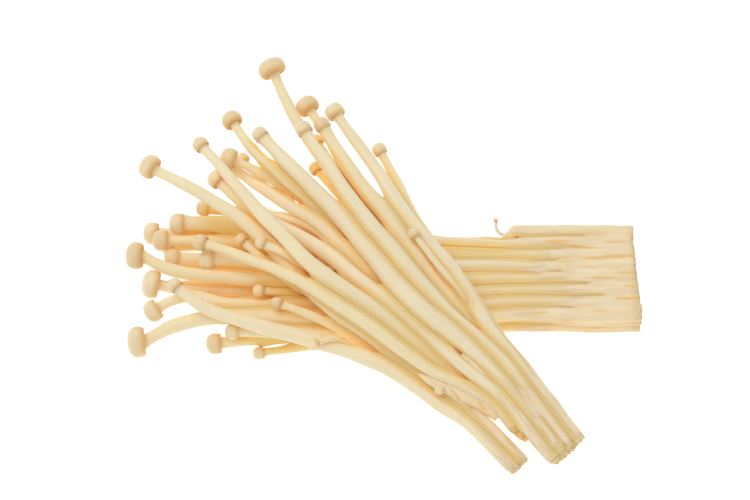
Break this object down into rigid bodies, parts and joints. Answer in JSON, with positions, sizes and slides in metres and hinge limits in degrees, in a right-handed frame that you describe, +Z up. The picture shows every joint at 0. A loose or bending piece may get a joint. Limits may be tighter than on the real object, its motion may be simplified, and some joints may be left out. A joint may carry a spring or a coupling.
{
  "type": "enoki mushroom bunch",
  "caption": "Cut bunch of enoki mushrooms lying loose: long thin pale stems with small round caps, some grown together at the cut, a clump leaning across another.",
  "frame": {"origin": "middle of the bunch's footprint box, on the surface that it lies on", "axes": "+Z up; +X along the lower clump, from its caps towards its knife cut; +Y away from the cut ends of the clumps that lie across it"},
  "size_m": [0.1416, 0.1164, 0.0315],
  "materials": {
    "lower_flesh": "satin, slightly moist",
    "back_flesh": "satin, slightly moist",
    "middle_flesh": "satin, slightly moist",
    "front_flesh": "satin, slightly moist",
    "pin_flesh": "satin, slightly moist"
  },
  "bodies": {
    "root": {"lower_mushroom_01": "lower_flesh", "lower_mushroom_02": "lower_flesh", "lower_mushroom_03": "lower_flesh", "lower_mushroom_04": "lower_flesh", "lower_mushroom_05": "lower_flesh", "lower_mushroom_06": "lower_flesh", "lower_mushroom_07": "lower_flesh", "lower_mushroom_08": "lower_flesh", "lower_mushroom_09": "lower_flesh", "lower_mushroom_10": "lower_flesh", "lower_mushroom_11": "lower_flesh", "lower_mushroom_12": "lower_flesh", "lower_mushroom_13": "lower_flesh", "lower_mushroom_14": "lower_flesh", "lower_mushroom_15": "lower_flesh", "lower_mushroom_16": "lower_flesh", "lower_mushroom_17": "lower_flesh", "lower_mushroom_18": "lower_flesh", "lower_mushroom_19": "lower_flesh", "lower_mushroom_20": "lower_flesh", "lower_mushroom_21": "lower_flesh", "lower_mushroom_22": "lower_flesh", "lower_mushroom_23": "lower_flesh", "back_mushroom_01": "back_flesh", "back_mushroom_02": "back_flesh", "back_mushroom_03": "back_flesh", "back_mushroom_04": "back_flesh", "back_mushroom_05": "back_flesh", "back_mushroom_06": "back_flesh", "back_mushroom_07": "back_flesh", "back_mushroom_08": "back_flesh", "back_mushroom_09": "back_flesh", "back_mushroom_10": "back_flesh", "back_mushroom_11": "back_flesh", "middle_mushroom_01": "middle_flesh", "middle_mushroom_02": "middle_flesh", "middle_mushroom_03": "middle_flesh", "front_mushroom_01": "front_flesh", "front_mushroom_02": "front_flesh", "front_mushroom_03": "front_flesh", "front_mushroom_04": "front_flesh", "pin_over_front_clump": "pin_flesh", "pin_over_front_bend": "pin_flesh", "pin_between_clumps": "pin_flesh", "pin_in_back_clump": "pin_flesh", "pin_under_middle_clump": "pin_flesh", "pin_beside_middle_clump": "pin_flesh", "pin_under_back_clump": "pin_flesh", "pin_in_back_fork": "pin_flesh", "pin_behind_back_clump": "pin_flesh", "pin_behind_middle_cap": "pin_flesh", "curled_pin": "pin_flesh"}
  },
  "joints": []
}
